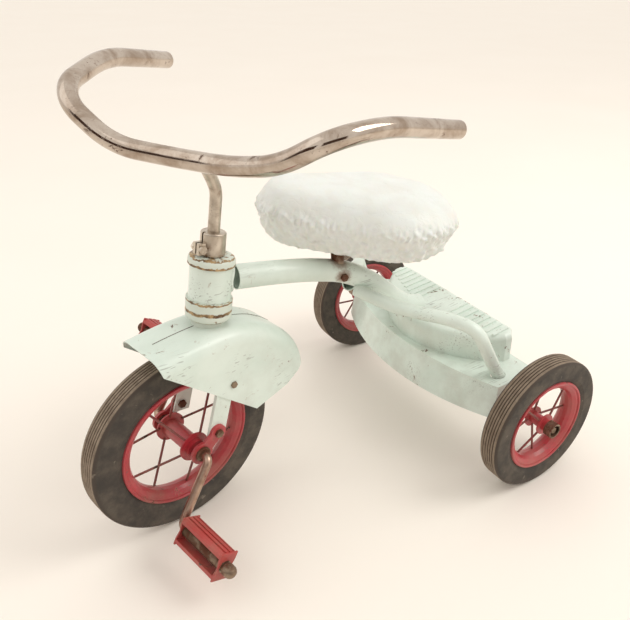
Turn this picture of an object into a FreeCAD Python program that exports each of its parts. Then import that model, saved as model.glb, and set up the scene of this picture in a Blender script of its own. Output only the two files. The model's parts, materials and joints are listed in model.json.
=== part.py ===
"""A child's pedal tricycle: ten inch front wheel driven by cranks, two eight inch rear wheels, a step deck.

+X points forward, +Y to the rider's left, +Z up. The rear axle lies along Y. Before export the whole model is
moved so that the origin is on the floor, under the middle of its box.

The fork, its fender, the front wheel and the handlebar are drawn upright about a steering axis along +Z
(u forward, v left, w up the axis). fork_place() then leans that axis back and turns it to the rest angle.
"""
import FreeCAD
import Part
import math
import os

V = FreeCAD.Vector
X_AXIS = V(1, 0, 0)
Y_AXIS = V(0, 1, 0)
Z_AXIS = V(0, 0, 1)
ORIGIN = V(0, 0, 0)
MIRROR_Y = (ORIGIN, Y_AXIS)

# Wheels and stance
FRONT_WHEEL_R = 127.0
REAR_WHEEL_R = 101.6
WHEELBASE = 443.0
TRACK = 458.0
FRONT_TYRE_W = 33.0
REAR_TYRE_W = 34.0
FRONT_TYRE_H = 37.0
REAR_TYRE_H = 31.0
TYRE_SHOULDER_R = 6.0
TYRE_GROOVES = 5
GROOVE_DEPTH = 1.2
GROOVE_W = 1.8
RIM_WELL = 14.0
RIM_THICK = 1.4
RIM_LIP_R = 1.9
RIM_INSET = 3.0
BEAD_H = 8.0
SPOKE_D = 3.2
SPOKE_SPREAD = 3.0
SPOKE_EDGE = 3.0
FRONT_SPOKES = 10
REAR_SPOKES = 8
FIT = 0.05

# Steering head
CASTER = 10.4
FORK_RAKE = 28.4
REST_STEER = 12.8
BAR_TURN = 16.4
HEAD_TUBE_R = 25.5
HEAD_TUBE_WALL = 2.0
RACE_R = 20.5
HEAD_BOTTOM = 319.0
HEAD_TOP = 363.0
CUP_R = 28.0
CUP_TOP_H = 11.0
CUP_BOTTOM_H = 27.0
CUP_SKIRT = 8.0
CUP_ROUND = 6.0
STEERER_R = 11.1
STEERER_BORE = 7.18
COLLAR_R = 15.0
COLLAR_GAP = 1.0
COLLAR_H = 28.0
COLLAR_ROUND = 2.5
COLLAR_EAR = 8.0
COLLAR_EAR_HALF = 6.0
COLLAR_EAR_FROM = 2.0
COLLAR_EAR_H = 14.0
COLLAR_SLIT = 2.4
COLLAR_BOLT_R = 2.5
STEM_R = 7.1
STEM_IN = 60.0
STEM_BEND_W = 451.0
STEM_RISE = 17.0
STEM_SADDLE = 40.0

# Handlebar: corners of each half's path, from the bar's middle (forward, out, up); use has bent it a little
BAR_R = 11.1
BAR_WALL = 1.6
BAR_END = 50.0
BAR_MID_U = 24.9
BAR_MID_W = 484.1
BAR_LEFT = [(5, 38, 6), (19, 106, 24), (18, 159, 62), (-46, 185, 77), (-177, 221, 75)]
BAR_RIGHT = [(7, 42, -1), (25, 105, -1), (35, 177, 42), (-54, 198, 79), (-180, 216, 77)]

# Fork and front hub
CROWN_TOP = 277.0
CROWN_THICK = 5.0
CROWN_SHOULDER = 18.0
LEG_W = 24.0
LEG_TAPER = 4.0
LEG_THICK = 5.0
LEG_OUT = 42.0
LEG_SHOULDER_DROP = 18.0
LEG_FOOT_U = 6.0
LEG_FOOT_W = 147.0
STRAP_THICK = 4.0
STRAP_EYE_R = 15.0
STRAP_TOP_R = 11.0
STRAP_WEB_TOP = 8.0
STRAP_WEB_LOW = 10.0
BUSH_R = 10.0
BUSH_OUT = 2.5
CRANK_R = 5.6
CRANK_THROW = 86.0
CRANK_REST = 61.0
CRANK_OUT = 65.0
CRANK_SPLAY = 5.0
PEDAL_IN = 80.0
PEDAL_LEN = 78.0
SPINDLE_OUT = 168.0
CRANK_BEND_R = 9.0
NUT_R = 8.0
NUT_H = 6.0
FRONT_HUB_R = 12.0
FRONT_HUB_HALF = 34.0
FRONT_FLANGE_R = 20.0
FRONT_FLANGE_AT = 27.0
FLANGE_THICK = 2.0

# Pedals
PEDAL_H = 38.0
PEDAL_TREAD_W = 25.0
PEDAL_TREAD_THICK = 8.0
PEDAL_PLATE_THICK = 2.0
PEDAL_SLEEVE_R = 8.0
PEDAL_WAIST = 2.5
PEDAL_NECK = 10.0
TREAD_SIDE = 4.0
TREAD_CROWN = 1.0
TREAD_GROOVE_W = 2.0
TREAD_GROOVE_H = 1.6
PEDAL_REST = -10.0

# Fender: side outline in the fork's frame, in order round the left half
FENDER_HALF = 44.0
FENDER_THICK = 1.5
FENDER_SHOULDER_R = 20.0
FENDER_TOP = [(92.0, 268.0), (11.0, 285.0), (-62.0, 281.0), (-108.0, 256.0), (-138.0, 212.0)]
FENDER_REAR = (-106.0, 182.0)
FENDER_TIP = (-56.0, 160.0)
FENDER_FRONT_LOW = (86.0, 252.0)
FENDER_CLEAR = 6.0
FENDER_BOLT = (-13.0, 212.0)

# Backbone and side tubes
BACKBONE_R = 15.9
BACKBONE_WALL = 1.6
BACKBONE_PATH = [(345, 331), (290, 323), (235, 312), (185, 297), (140, 268), (95, 226), (70, 208), (48, 203)]
SIDE_R = 9.5
SIDE_WALL = 1.5
SIDE_START = (172.0, 9.0, 268.0)
SIDE_PATH = [(144, 60, 256), (112, 88, 247), (84, 112, 241), (64, 150, 236), (46, 160, 192), (22, 160, 150)]
SIDE_FOOT_Y = 160.0
SIDE_CLEAR = 1.0
FOOT_R = 13.0
FOOT_THICK = 7.0

# Step deck
PAN_TOP = 150.0
PAN_BOTTOM = 100.0
PAN_THICK = 1.5
PAN_HALF = 188.0
PAN_REAR = -34.0
PAN_FRONT = 80.0
PAN_END = 44.0
PAN_FLARE = 17.0
PAN_CORNER = 12.0
PAN_LEAN = 4.0
STEP_HALF = 140.0
STEP_REAR = -36.0
STEP_FRONT = 68.0
STEP_END = -10.0
STEP_CORNER = 14.0
STEP_FRONT_H = 187.0
STEP_REAR_H = 198.0
STEP_EDGE_R = 10.0
STEP_THICK = 1.5
RIB_W = 5.0
RIB_H = 1.8
RIB_FIRST = 34.0
RIB_PITCH = 13.0
RIB_LEN = 56.0
RIB_SHORTER = 3.5

# Rear axle and hubs
AXLE_R = 4.75
AXLE_END = 12.0
REAR_HUB_R = 9.0
REAR_HUB_IN = 17.0
REAR_HUB_OUT = 31.0
REAR_FLANGE_R = 16.0
REAR_FLANGE_AT = 11.0
CAP_R = 11.5
CAP_H = 12.0
CAP_WALL = 2.5
WASHER_R = 10.0
WASHER_THICK = 2.0
END_FLOAT = 0.4
PIN_D = 2.6

# Seat
SEAT_BOLT_X = 196.0
SEAT_BOLT_Z = 296.5
SEAT_TURN = -20.0
SEAT_TILT = 7.5
SEAT_MID = (156.0, -16.0)
SEAT_LEN = 266.0
SEAT_REAR_W = 195.0
SEAT_NOSE_W = 116.0
SEAT_BASE = 341.0
SEAT_PAN_THICK = 2.0
SEAT_PAN_INSET = 20.0
SEAT_PAD_H = 60.0
SEAT_PAD_EDGE = 26.0
SEAT_PAD_UNDER = 20.0
COVER_THICK = 2.0
POST_R = 9.0
POST_IN = 6.0
POST_PLATE_R = 24.0
POST_PLATE_THICK = 3.0
SEAT_BOLT_R = 3.5

# Fasteners
BOLT_R = 3.0
BOLT_HEAD_R = 5.8
BOLT_HEAD_H = 4.0
BOLT_NUT_H = 3.5

# Cutting tools: longer than anything they cut, and the tolerance for finding edges
LONG = 400.0
NEAR = 0.01


def axle_height():
    """Height of the front axle up the steering axis that sets the turned and leaned wheel on the floor."""
    lean = math.radians(CASTER)
    turn = math.radians(REST_STEER)
    tip = math.sin(turn) * math.sin(lean)
    tread_edge = FRONT_TYRE_W / 2 - TYRE_SHOULDER_R
    drop = FRONT_WHEEL_R * math.sqrt(1 - tip ** 2) + tread_edge * tip
    return (drop - FORK_RAKE * math.cos(turn) * math.sin(lean)) / math.cos(lean)


AXLE_W = axle_height()
STEER_X = WHEELBASE - FORK_RAKE * math.cos(math.radians(CASTER)) + AXLE_W * math.sin(math.radians(CASTER))
COLLAR_BOTTOM = HEAD_TOP + CUP_TOP_H + COLLAR_GAP
COLLAR_TOP = COLLAR_BOTTOM + COLLAR_H

nodes = {}


# ---- general shapes ----

def rod(start, end, radius):
    """Solid round bar between two points."""
    run = V(*end) - V(*start)
    return Part.makeCylinder(radius, run.Length, V(*start), run)


def pipe_between(start, end, outer, inner):
    """Round tube between two points."""
    return rod(start, end, outer).cut(rod(start, end, inner))


def block(low, high):
    """Box between two corners."""
    size = V(*high) - V(*low)
    return Part.makeBox(size.x, size.y, size.z, V(*low))


def plate(points, thick, at, axis="y"):
    """Flat plate: an outline in the plane across the axis, centred on `at` along it."""
    low = at - thick / 2
    if axis == "y":
        outline = [V(a, low, b) for a, b in points]
        pull = V(0, thick, 0)
    else:
        outline = [V(a, b, low) for a, b in points]
        pull = V(0, 0, thick)
    return Part.Face(Part.makePolygon(outline + outline[:1])).extrude(pull)


def bend_path(points, largest=1000.0):
    """Straight runs joined by tangent arcs, each as large as its two runs allow, up to the largest radius."""
    pts = [V(*p) for p in points]
    edges = []
    here = pts[0]
    for before, corner, after in zip(pts, pts[1:], pts[2:]):
        run_in = corner - before
        run_out = after - corner
        turn = run_in.getAngle(run_out)
        if turn < math.radians(0.5):
            continue
        back = min(0.45 * min(run_in.Length, run_out.Length), largest * math.tan(turn / 2))
        a = corner - V(run_in).normalize() * back
        b = corner + V(run_out).normalize() * back
        radius = back / math.tan(turn / 2)
        inward = (V(run_out).normalize() - V(run_in).normalize()).normalize()
        centre = corner + inward * (radius / math.cos(turn / 2))
        middle = centre + (corner - centre).normalize() * radius
        edges.append(Part.makeLine(here, a))
        edges.append(Part.Arc(a, middle, b).toShape())
        here = b
    edges.append(Part.makeLine(here, pts[-1]))
    return Part.Wire(edges)


def tube(points, outer, inner=0.0, largest=1000.0):
    """Round tube, or a solid rod when no bore is given, swept along bend_path()."""
    path = bend_path(points, largest)
    start = V(*points[0])
    heading = V(*points[1]) - start
    shapes = []
    for radius in (outer, inner):
        if radius > 0:
            section = Part.Wire(Part.makeCircle(radius, start, heading))
            shapes.append(path.makePipeShell([section], True, False))
    return shapes[0] if inner == 0 else shapes[0].cut(shapes[1])


def turned(points):
    """Ring turned about the Y axis from a closed outline of (radius, y) points."""
    outline = [V(r, y, 0) for r, y in points]
    face = Part.Face(Part.makePolygon(outline + outline[:1]))
    ring = face.revolve(ORIGIN, Y_AXIS, 360)
    if ring.Volume < 0:
        ring.reverse()
    return ring


def arc_points(centre, radius, first, last, count):
    """Points along an arc, angles in degrees."""
    out = []
    for i in range(count + 1):
        a = math.radians(first + (last - first) * i / count)
        out.append((centre[0] + radius * math.cos(a), centre[1] + radius * math.sin(a)))
    return out


def bolt(at, direction, shank_r, length, head_r, head_h):
    """Hex headed bolt: the head's underside is at `at`, and the shank runs along `direction`."""
    shank = Part.makeCylinder(shank_r, length, V(*at), direction)
    flats = []
    for i in range(6):
        a = math.radians(60 * i)
        flats.append(V(head_r * math.cos(a), head_r * math.sin(a), -head_h))
    head = Part.Face(Part.makePolygon(flats + flats[:1])).extrude(V(0, 0, head_h))
    head.Placement = FreeCAD.Placement(V(*at), FreeCAD.Rotation(Z_AXIS, direction))
    return shank.fuse(head)


def group(solids):
    """Separate solids kept together in one node."""
    return Part.makeCompound(solids)


def mirrored(shape):
    """The right-hand twin of a left-hand shape."""
    return shape.mirror(*MIRROR_Y)


# ---- placing the fork's pieces ----

def fork_place(shape, turn=REST_STEER):
    """From the fork's upright frame to the leaned back and turned rest position."""
    placed = shape.copy()
    lean = FreeCAD.Placement(V(STEER_X, 0, 0), FreeCAD.Rotation(Y_AXIS, -CASTER))
    steer = FreeCAD.Placement(ORIGIN, FreeCAD.Rotation(Z_AXIS, turn))
    placed.Placement = lean.multiply(steer).multiply(placed.Placement)
    return placed


def wheel_place(shape):
    """From the front wheel's own frame, centred on its axle, to the rest position."""
    placed = shape.copy()
    spin = FreeCAD.Placement(V(FORK_RAKE, 0, AXLE_W), FreeCAD.Rotation(Y_AXIS, CRANK_REST))
    placed.Placement = spin.multiply(placed.Placement)
    return fork_place(placed)


# ---- wheels ----

def tyre(radius, width, height):
    """Solid rubber tyre with a flat grooved tread, rounded shoulders and a seat that fills the rim's well."""
    half = width / 2
    shoulder = TYRE_SHOULDER_R
    rim_r = radius - height
    outline = [(rim_r, -half + RIM_INSET), (rim_r + BEAD_H, -half)]
    outline += arc_points((radius - shoulder, -half + shoulder), shoulder, 270, 360, 5)
    tread = width - 2 * shoulder
    for i in range(TYRE_GROOVES):
        y = -tread / 2 + tread * (i + 0.5) / TYRE_GROOVES
        outline.append((radius, y - GROOVE_W / 2))
        outline.append((radius - GROOVE_DEPTH, y - GROOVE_W / 4))
        outline.append((radius - GROOVE_DEPTH, y + GROOVE_W / 4))
        outline.append((radius, y + GROOVE_W / 2))
    outline += arc_points((radius - shoulder, half - shoulder), shoulder, 0, 90, 5)
    outline += [(rim_r + BEAD_H, half), (rim_r, half - RIM_INSET)]
    outline += rim_outline(rim_r, width)[::-1]
    return turned(outline)


def rim_outline(rim_r, width):
    """The rim's outer surface, from its left edge through the well to its right edge, as (radius, y)."""
    half = width / 2 - RIM_INSET
    rows = 8
    points = []
    for i in range(rows + 1):
        a = math.pi * (i / rows - 0.5)
        points.append((rim_r - RIM_WELL * math.cos(a), half * math.sin(a)))
    return points


def rim(radius, width, height):
    """Pressed steel rim: a deep rounded well round the tyre's seat, with a rolled edge each side."""
    rim_r = radius - height
    seat = rim_outline(rim_r, width)
    half = width / 2 - RIM_INSET
    under = [(r - RIM_THICK, y * (half + RIM_THICK) / half) for r, y in seat]
    shell = turned(seat + under[::-1])
    for side in (-1, 1):
        middle = V(0, side * (half + 0.7 * RIM_LIP_R), 0)
        shell = shell.fuse(Part.makeTorus(rim_r - RIM_LIP_R, RIM_LIP_R, middle, Y_AXIS))
    whole = shell.cut(tyre(radius, width, height))
    return max(whole.Solids, key=lambda s: s.Volume)


def spokes(count, hub_r, hub_y, well_r, well_y):
    """Wire spokes from two hub flanges to the rim's well, alternating sides."""
    wires = []
    for i in range(count):
        side = 1 if i % 2 else -1
        a = 2 * math.pi * i / count
        start = (hub_r * math.cos(a), side * hub_y, hub_r * math.sin(a))
        end = (well_r * math.cos(a), side * well_y, well_r * math.sin(a))
        wires.append(rod(start, end, SPOKE_D / 2))
    return wires


def well_radius(radius, height):
    """Inner face of the rim's well."""
    return radius - height - RIM_WELL - RIM_THICK


def front_wheel():
    """Tyre, rim, spokes and hub barrel, and the one-piece crank axle that drives them."""
    nodes["front_tyre"] = wheel_place(tyre(FRONT_WHEEL_R, FRONT_TYRE_W, FRONT_TYRE_H))
    nodes["front_rim"] = wheel_place(rim(FRONT_WHEEL_R, FRONT_TYRE_W, FRONT_TYRE_H))
    well = well_radius(FRONT_WHEEL_R, FRONT_TYRE_H)
    grip = FRONT_FLANGE_R - SPOKE_EDGE
    wires = spokes(FRONT_SPOKES, grip, FRONT_FLANGE_AT - 0.5 * FLANGE_THICK, well, SPOKE_SPREAD)
    barrel = pipe_between((0, -FRONT_HUB_HALF, 0), (0, FRONT_HUB_HALF, 0), FRONT_HUB_R, CRANK_R)
    flanges = []
    for side in (-1, 1):
        low = side * FRONT_FLANGE_AT - FLANGE_THICK / 2
        high = side * FRONT_FLANGE_AT + FLANGE_THICK / 2
        flanges.append(pipe_between((0, low, 0), (0, high, 0), FRONT_FLANGE_R, FRONT_HUB_R))
    wires = [w.cut(group(flanges)).Solids[0] for w in wires]
    nodes["front_spokes"] = wheel_place(group(wires))
    nodes["front_hub_barrel"] = wheel_place(barrel)
    nodes["front_hub_flanges"] = wheel_place(group(flanges))
    nodes["crank_axle"] = wheel_place(crank_axle())
    nuts = [spindle_nut(), mirrored(spindle_nut())]
    nuts[0].translate(V(CRANK_THROW, 0, 0))
    nuts[1].translate(V(-CRANK_THROW, 0, 0))
    nodes["pedal_nuts"] = wheel_place(group(nuts))


def crank_axle():
    """One bent rod: left spindle, left arm, axle, right arm, right spindle."""
    left = [(CRANK_THROW, SPINDLE_OUT, 0), (CRANK_THROW, CRANK_OUT + CRANK_SPLAY, 0)]
    left.append((0, CRANK_OUT - CRANK_SPLAY, 0))
    right = [(-x, -y, z) for x, y, z in left[::-1]]
    return tube(left + right, CRANK_R, largest=CRANK_BEND_R)


def spindle_nut():
    """Domed cap nut on the end of the left spindle."""
    at = SPINDLE_OUT - NUT_H
    nut = Part.makeCylinder(NUT_R, NUT_H, V(0, at, 0), Y_AXIS)
    dome = Part.makeSphere(NUT_R, V(0, SPINDLE_OUT, 0), Y_AXIS, 0, 90, 360)
    return nut.fuse(dome).cut(Part.makeCylinder(CRANK_R, NUT_H, V(0, at, 0), Y_AXIS))


def rear_wheel(side, name):
    """A rear wheel on the fixed axle: tyre, rim, spokes, hub barrel, flanges and the open cap outside."""
    def place(shape):
        placed = shape if side > 0 else mirrored(shape)
        placed = placed.copy()
        placed.translate(V(0, side * TRACK / 2, REAR_WHEEL_R))
        return placed
    nodes["rear_tyre_" + name] = place(tyre(REAR_WHEEL_R, REAR_TYRE_W, REAR_TYRE_H))
    nodes["rear_rim_" + name] = place(rim(REAR_WHEEL_R, REAR_TYRE_W, REAR_TYRE_H))
    well = well_radius(REAR_WHEEL_R, REAR_TYRE_H)
    barrel = pipe_between((0, -REAR_HUB_IN, 0), (0, REAR_HUB_OUT - CAP_H, 0), REAR_HUB_R, AXLE_R + FIT)
    flanges = []
    for at in (-REAR_FLANGE_AT, REAR_FLANGE_AT):
        low = (0, at - FLANGE_THICK / 2, 0)
        high = (0, at + FLANGE_THICK / 2, 0)
        flanges.append(pipe_between(low, high, REAR_FLANGE_R, REAR_HUB_R))
    grip = REAR_FLANGE_R - SPOKE_EDGE
    wires = spokes(REAR_SPOKES, grip, REAR_FLANGE_AT - 0.5 * FLANGE_THICK, well, SPOKE_SPREAD)
    wires = [w.cut(group(flanges)).Solids[0] for w in wires]
    nodes["rear_spokes_" + name] = place(group(wires))
    nodes["rear_hub_" + name] = place(barrel)
    nodes["rear_hub_flanges_" + name] = place(group(flanges))
    cap = pipe_between((0, REAR_HUB_OUT - CAP_H, 0), (0, REAR_HUB_OUT, 0), CAP_R, CAP_R - CAP_WALL)
    nodes["rear_hub_cap_" + name] = place(cap)


def rear_axle():
    """Fixed axle through both feet, with a washer inside each wheel and a washer and split pin outside it."""
    reach = TRACK / 2 + REAR_HUB_OUT - WASHER_THICK
    z = REAR_WHEEL_R
    axle = rod((0, -reach, z), (0, reach, z), AXLE_R)
    inside = CAP_R - CAP_WALL - END_FLOAT
    washers = []
    pins = []
    for side in (-1, 1):
        hub_in = side * (TRACK / 2 - REAR_HUB_IN - END_FLOAT)
        hub_out = side * (TRACK / 2 + REAR_HUB_OUT - CAP_H + END_FLOAT)
        washers.append(pipe_between((0, hub_in, z), (0, hub_in - side * WASHER_THICK, z), WASHER_R, AXLE_R))
        washers.append(pipe_between((0, hub_out, z), (0, hub_out + side * WASHER_THICK, z), inside, AXLE_R))
        pin_y = hub_out + side * (WASHER_THICK + PIN_D / 2)
        span = inside - END_FLOAT
        pins.append(rod((0, pin_y, z - span), (0, pin_y, z + span), PIN_D / 2))
    nodes["rear_axle"] = axle.cut(group(pins))
    nodes["axle_washers"] = group(washers)
    nodes["split_pins"] = group(pins)


# ---- pedals ----

def pedal(side, name):
    """Two grooved treads held by an end plate each side, turning on a sleeve round the spindle."""
    half = PEDAL_H / 2

    def place(shape):
        placed = shape if side > 0 else mirrored(shape)
        placed = placed.copy()
        level = CRANK_REST + CASTER
        tilt = FreeCAD.Placement(V(side * CRANK_THROW, 0, 0), FreeCAD.Rotation(Y_AXIS, PEDAL_REST - level))
        placed.Placement = tilt.multiply(placed.Placement)
        return wheel_place(placed)

    outer_at = PEDAL_IN + PEDAL_LEN
    sleeve = pipe_between((0, PEDAL_IN, 0), (0, outer_at, 0), PEDAL_SLEEVE_R, CRANK_R + FIT)
    nodes["pedal_sleeve_" + name] = place(sleeve)
    treads = []
    for up in (-1, 1):
        treads.append(pedal_tread(up, half))
    nodes["pedal_treads_" + name] = place(group(treads))
    plates = []
    for at in (PEDAL_IN + PEDAL_PLATE_THICK / 2, outer_at - PEDAL_PLATE_THICK / 2):
        plates.append(pedal_plate(at, half))
    nodes["pedal_plates_" + name] = place(group(plates))


def pedal_tread(up, half):
    """A tread, crowned across its width, with three grooves along it."""
    w = PEDAL_TREAD_W / 2
    base = half - PEDAL_TREAD_THICK
    shoulder = base + TREAD_SIDE
    low = half - TREAD_CROWN
    outline = [(-w, base), (w, base), (w, shoulder), (0.75 * w, low), (0.4 * w, half)]
    outline += [(-0.4 * w, half), (-0.75 * w, low), (-w, shoulder)]
    length = PEDAL_LEN - 2 * PEDAL_PLATE_THICK
    middle = PEDAL_IN + PEDAL_LEN / 2
    body = plate([(x, z * up) for x, z in outline], length, middle)
    for x in (-0.5 * w, 0.0, 0.5 * w):
        left = (x - TREAD_GROOVE_W / 2, middle - length, half - TREAD_GROOVE_H)
        right = (x + TREAD_GROOVE_W / 2, middle + length, half + TREAD_GROOVE_H)
        groove = block(left, right)
        if up < 0:
            groove = groove.mirror(ORIGIN, Z_AXIS)
        body = body.cut(groove)
    return body


def pedal_plate(at, half):
    """End plate: wide behind the treads and waisted round the spindle, with the sleeve's hole."""
    w = PEDAL_TREAD_W / 2
    waist = PEDAL_SLEEVE_R + PEDAL_WAIST
    top = half - TREAD_CROWN
    neck = half - PEDAL_NECK
    outline = [(-w, top), (-w, neck), (-waist, 0), (-w, -neck), (-w, -top)]
    outline += [(-x, z) for x, z in outline[::-1]]
    body = plate(outline, PEDAL_PLATE_THICK, at)
    return body.cut(rod((0, at - PEDAL_PLATE_THICK, 0), (0, at + PEDAL_PLATE_THICK, 0), PEDAL_SLEEVE_R))


# ---- fork, straps and fender ----

def fork():
    """Steerer, crown, legs, bearing straps with bushes and their bolts."""
    steerer = pipe_between((0, 0, CROWN_TOP), (0, 0, COLLAR_TOP), STEERER_R, STEERER_BORE)
    nodes["steerer_tube"] = fork_place(steerer)
    nodes["crown_race"] = fork_place(crown_race())
    shoulder = CROWN_SHOULDER
    half = LEG_W / 2
    crown = block((-half, -shoulder, CROWN_TOP - CROWN_THICK), (half, shoulder, CROWN_TOP))
    nodes["fork_crown"] = fork_place(crown)
    nodes["fork_leg_left"] = fork_place(fork_leg())
    nodes["fork_leg_right"] = fork_place(mirrored(fork_leg()))
    nodes["bearing_strap_left"] = fork_place(bearing_strap())
    nodes["bearing_strap_right"] = fork_place(mirrored(bearing_strap()))
    nodes["axle_bushes"] = fork_place(group([axle_bush(), mirrored(axle_bush())]))
    nodes["strap_bolts"] = fork_place(group([strap_bolt(), mirrored(strap_bolt())]))


def across_fork(point, radius):
    """Cutter along the fork's +v side, through a point of its side view."""
    return rod((point[0], 0, point[1]), (point[0], LONG, point[1]), radius)


def crown_race():
    """Turned ring that fills the space between the fender's top and the lower cup."""
    top = HEAD_BOTTOM - CUP_BOTTOM_H - COLLAR_GAP
    ring = pipe_between((0, 0, CROWN_TOP), (0, 0, top), RACE_R, STEERER_R)
    crest = fender_block(FENDER_HALF, 0.0, 0.0)
    return ring.cut(crest).cut(mirrored(crest))


def fork_leg():
    """Left leg: a flat bar that leaves the crown's side, slopes out and drops to the strap."""
    inside = LEG_OUT - LEG_THICK
    low = LEG_FOOT_W - STRAP_TOP_R
    shoulder = CROWN_TOP - LEG_SHOULDER_DROP
    inner = [(CROWN_SHOULDER, CROWN_TOP - CROWN_THICK), (inside, shoulder - 0.5 * LEG_THICK), (inside, low)]
    outer = [(LEG_OUT, low), (LEG_OUT, shoulder), (CROWN_SHOULDER, CROWN_TOP)]
    ring = [V(-LONG / 2, v, w) for v, w in inner + outer + inner[:1]]
    bar = Part.Face(Part.makePolygon(ring)).extrude(V(LONG, 0, 0))
    half = LEG_W / 2
    knee = FENDER_BOLT[1]
    side = [(-half, CROWN_TOP), (half, CROWN_TOP), (half - LEG_TAPER, knee), (LEG_FOOT_U + half, low)]
    side += [(LEG_FOOT_U - half, low), (-half - LEG_TAPER, knee)]
    leg = bar.common(plate(side, LONG, 0.0))
    foot = (LEG_FOOT_U, LEG_FOOT_W)
    return leg.cut(across_fork(FENDER_BOLT, BOLT_R)).cut(across_fork(foot, BOLT_R))


def bearing_strap():
    """Left strap: an eye round the axle bush joined to a smaller eye bolted to the leg's foot."""
    axle = (FORK_RAKE, AXLE_W)
    foot = (LEG_FOOT_U, LEG_FOOT_W)
    low = LEG_OUT
    high = LEG_OUT + STRAP_THICK
    eye = rod((axle[0], low, axle[1]), (axle[0], high, axle[1]), STRAP_EYE_R)
    top = rod((foot[0], low, foot[1]), (foot[0], high, foot[1]), STRAP_TOP_R)
    across = V(foot[1] - axle[1], 0, axle[0] - foot[0]).normalize()
    web = []
    for centre, reach in ((foot, STRAP_WEB_TOP), (axle, STRAP_WEB_LOW)):
        for sign in (-1, 1):
            web.append((centre[0] + sign * reach * across.x, centre[1] + sign * reach * across.z))
    joined = eye.fuse(top).fuse(plate([web[0], web[1], web[3], web[2]], STRAP_THICK, (low + high) / 2))
    return joined.cut(across_fork(axle, BUSH_R)).cut(across_fork(foot, BOLT_R))


def axle_bush():
    """Left plain bearing in the strap's eye."""
    low = LEG_OUT - BUSH_OUT
    high = LEG_OUT + STRAP_THICK + BUSH_OUT
    return pipe_between((FORK_RAKE, low, AXLE_W), (FORK_RAKE, high, AXLE_W), BUSH_R, CRANK_R + FIT)


def strap_bolt():
    """Left bolt through the strap and the leg's foot, with its nut inside."""
    head = (LEG_FOOT_U, LEG_OUT + STRAP_THICK, LEG_FOOT_W)
    length = STRAP_THICK + LEG_THICK + BOLT_NUT_H
    body = bolt(head, V(0, -1, 0), BOLT_R, length, BOLT_HEAD_R, BOLT_HEAD_H)
    nut_at = (LEG_FOOT_U, LEG_OUT - LEG_THICK, LEG_FOOT_W)
    return body.fuse(bolt(nut_at, Y_AXIS, BOLT_R, LEG_THICK, BOLT_HEAD_R, BOLT_NUT_H))


def fender_line(offset):
    """The top line as a smooth curve, moved inward by offset."""
    points = [V(u, 0, w - offset) for u, w in FENDER_TOP[:-1]]
    tail_u, tail_w = FENDER_TOP[-1]
    points.append(V(tail_u + offset, 0, tail_w))
    curve = Part.BSplineCurve()
    curve.interpolate(points)
    return curve.toShape()


def fender_block(half, offset, grow):
    """Solid bounded by the fender's outline, from its middle to one side, its top edge rounded."""
    top = fender_line(offset)
    first = top.Vertexes[0].Point
    last = top.Vertexes[-1].Point
    ring = [last]
    ring.append(V(FENDER_REAR[0] - grow, 0, FENDER_REAR[1] - grow))
    ring.append(V(FENDER_TIP[0] - grow, 0, FENDER_TIP[1] - 2 * grow))
    ring.append(V(FENDER_FRONT_LOW[0] + grow, 0, FENDER_FRONT_LOW[1] - 2 * grow))
    if grow > 0:
        ring.insert(1, V(last.x, 0, last.z - 4 * grow))
        ring.append(V(first.x + 4 * grow, 0, FENDER_FRONT_LOW[1]))
        ring.append(V(first.x + 4 * grow, 0, first.z - grow))
    ring.append(first)
    edges = [top]
    for a, b in zip(ring, ring[1:]):
        edges.append(Part.makeLine(a, b))
    side = Part.Face(Part.Wire(Part.__sortEdges__(edges)))
    body = side.extrude(V(0, half, 0))
    outer_edges = []
    for edge in body.Edges:
        box = edge.BoundBox
        if box.YMin > half - NEAR and isinstance(edge.Curve, Part.BSplineCurve):
            outer_edges.append(edge)
    return body.makeFillet(FENDER_SHOULDER_R - offset, outer_edges)


def fender_half():
    """Left half shell of the front fender."""
    outer = fender_block(FENDER_HALF, 0.0, 0.0)
    inner = fender_block(FENDER_HALF - FENDER_THICK, FENDER_THICK, FENDER_CLEAR)
    steerer = rod((0, 0, 0), (0, 0, LONG), STEERER_R)
    return outer.cut(inner).cut(across_fork(FENDER_BOLT, BOLT_R)).cut(steerer)


def fender():
    """Two pressed halves joined on the middle line, and the bolts that hold them to the legs."""
    left = fender_half()
    nodes["fender_left"] = fork_place(left)
    nodes["fender_right"] = fork_place(mirrored(left))
    head = (FENDER_BOLT[0], FENDER_HALF, FENDER_BOLT[1])
    length = FENDER_HALF - LEG_OUT + LEG_THICK + 0.5 * BOLT_NUT_H
    screw = bolt(head, V(0, -1, 0), BOLT_R, length, 0.8 * BOLT_HEAD_R, 0.65 * BOLT_HEAD_H)
    nodes["fender_bolts"] = fork_place(group([screw, mirrored(screw)]))


# ---- head, stem and handlebar ----

def head():
    """Head tube of the frame with a pressed cup at each end."""
    tube_body = pipe_between((0, 0, HEAD_BOTTOM), (0, 0, HEAD_TOP), HEAD_TUBE_R, HEAD_TUBE_R - HEAD_TUBE_WALL)
    nodes["head_tube"] = fork_place(tube_body, 0.0)
    top = cup(CUP_TOP_H)
    top.translate(V(0, 0, HEAD_TOP))
    bottom = cup(CUP_BOTTOM_H).mirror(ORIGIN, Z_AXIS)
    bottom.translate(V(0, 0, HEAD_BOTTOM))
    nodes["head_cup_top"] = fork_place(top, 0.0)
    nodes["head_cup_bottom"] = fork_place(bottom, 0.0)


def top_edges(body, z):
    """Edges that lie flat at height z."""
    return [e for e in body.Edges if e.BoundBox.ZMin > z - NEAR and e.BoundBox.ZMax < z + NEAR]


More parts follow.
